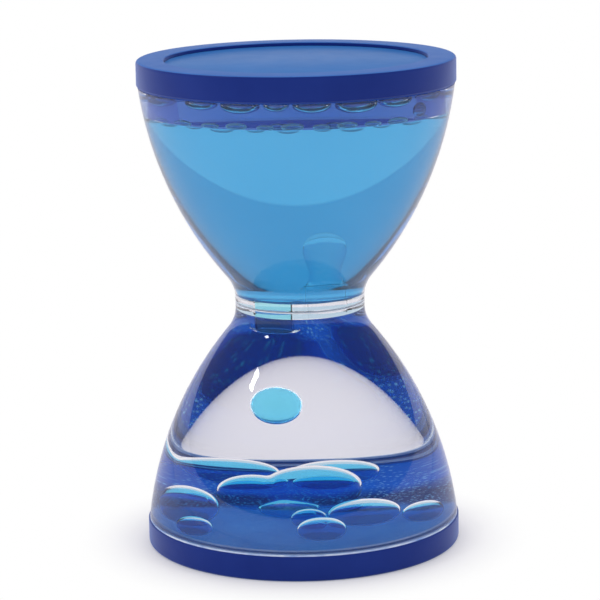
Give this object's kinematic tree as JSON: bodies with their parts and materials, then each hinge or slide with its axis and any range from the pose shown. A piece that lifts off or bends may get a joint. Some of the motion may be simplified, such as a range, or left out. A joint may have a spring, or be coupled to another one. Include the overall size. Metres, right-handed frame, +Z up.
{
  "type": "liquid motion timer",
  "caption": "Desk timer of clear flared bulbs joined at a thin neck between blue end caps, with dyed drops that fall through clear oil while drops of oil rise.",
  "frame": {"origin": "centre of the face that the lower end cap rests on", "axes": "+Z up the timer's axis, through both bulbs, to the top cap; the two nozzles lie side by side along X, the down nozzle at -X; the pictured side faces -Y"},
  "size_m": [0.058, 0.058, 0.09],
  "materials": {
    "cap_blue": "satin moulded",
    "cover_blue": "smooth, semi-gloss",
    "stopper_soft": "matte",
    "bulb_clear": "clear, polished",
    "cement_clear": "clear",
    "divider_clear": "clear, polished",
    "nozzle_clear": "clear, polished",
    "oil_clear": "clear liquid",
    "fluid_blue": "dyed, slightly cloudy liquid",
    "drop_blue": "dyed, slightly cloudy liquid",
    "oil_drop": "clear liquid"
  },
  "bodies": {
    "timer": {"base_cap": "cap_blue", "top_cap": "cap_blue", "base_cover_disc": "cover_blue", "top_cover_disc": "cover_blue", "filler_stopper": "stopper_soft", "lower_bulb": "bulb_clear", "upper_bulb": "bulb_clear", "base_bond_ring": "cement_clear", "top_bond_ring": "cement_clear", "neck_bond_ring": "cement_clear", "flow_divider": "divider_clear", "down_nozzle": "nozzle_clear", "up_nozzle": "nozzle_clear", "upper_oil": "oil_clear", "lower_oil": "oil_clear", "upper_fluid": "fluid_blue", "settled_pool": "drop_blue", "risen_oil_drops": "oil_drop", "settled_drop_1": "drop_blue", "settled_drop_2": "drop_blue", "settled_drop_3": "drop_blue", "settled_drop_4": "drop_blue", "settled_drop_5": "drop_blue", "settled_drop_6": "drop_blue", "settled_drop_7": "drop_blue", "settled_drop_8": "drop_blue"},
    "falling_drop": {"falling_drop": "drop_blue"},
    "rising_oil_drop": {"rising_oil_drop": "oil_drop"}
  },
  "joints": [
    {"name": "drop_fall", "type": "slide", "parent": "timer", "child": "falling_drop", "axis": [0, 0, 1], "range_m": [-0.0123, 0.0118], "deforming": ["lower_oil"]},
    {"name": "oil_rise", "type": "slide", "parent": "timer", "child": "rising_oil_drop", "axis": [0, 0, 1], "range_m": [0, 0.018], "deforming": ["upper_fluid"]}
  ]
}
